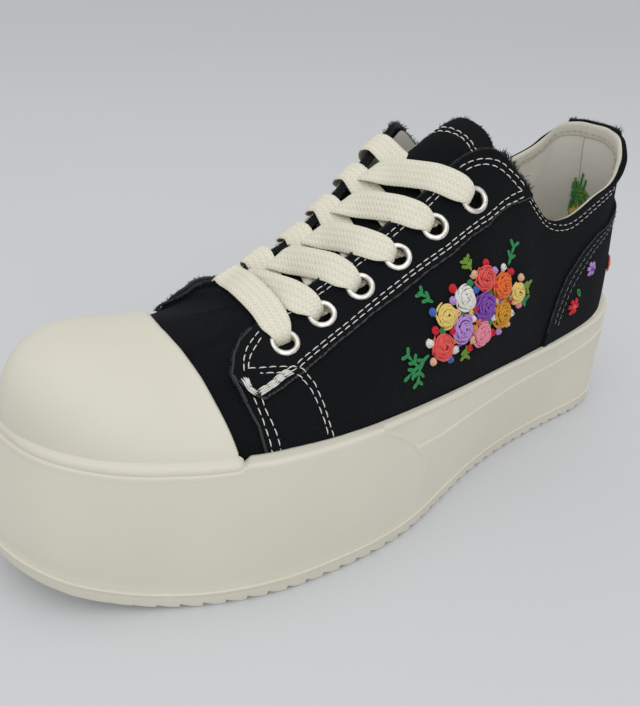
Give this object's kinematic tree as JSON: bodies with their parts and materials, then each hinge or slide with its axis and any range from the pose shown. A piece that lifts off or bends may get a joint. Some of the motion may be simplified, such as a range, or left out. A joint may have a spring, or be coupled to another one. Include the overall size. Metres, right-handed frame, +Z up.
{
  "type": "platform sneaker",
  "caption": "Low lace-up canvas sneaker, left foot, on a thick rubber platform with a rippled outsole, rubber toe cap, raw-edged eyestays and a heel counter.",
  "frame": {"origin": "on the floor under the middle of the shoe's bounding box", "axes": "+X to the lateral (outer) side of this left shoe, +Y from the toe to the heel, +Z up from the floor"},
  "size_m": [0.1116, 0.2886, 0.1382],
  "materials": {
    "outsole_rubber": "matte",
    "platform_rubber": "matte",
    "canvas": "woven",
    "footbed": "woven",
    "lace": "woven",
    "eyelet_metal": "satin"
  },
  "bodies": {
    "root": {"outsole": "outsole_rubber", "midsole": "platform_rubber", "toe_bead": "platform_rubber", "toe_cap": "platform_rubber", "upper": "canvas", "eyestay_lateral": "canvas", "eyestay_medial": "canvas", "heel_counter": "canvas", "heel_tab": "canvas", "tongue": "canvas", "insole": "footbed", "lace_bar": "lace", "lace_cross_2": "lace", "lace_cross_3": "lace", "lace_cross_4": "lace", "lace_cross_5": "lace", "lace_cross_6": "lace", "eyelet_lateral_1": "eyelet_metal", "eyelet_lateral_2": "eyelet_metal", "eyelet_lateral_3": "eyelet_metal", "eyelet_lateral_4": "eyelet_metal", "eyelet_lateral_5": "eyelet_metal", "eyelet_lateral_6": "eyelet_metal", "eyelet_medial_1": "eyelet_metal", "eyelet_medial_2": "eyelet_metal", "eyelet_medial_3": "eyelet_metal", "eyelet_medial_4": "eyelet_metal", "eyelet_medial_5": "eyelet_metal", "eyelet_medial_6": "eyelet_metal"}
  },
  "joints": []
}
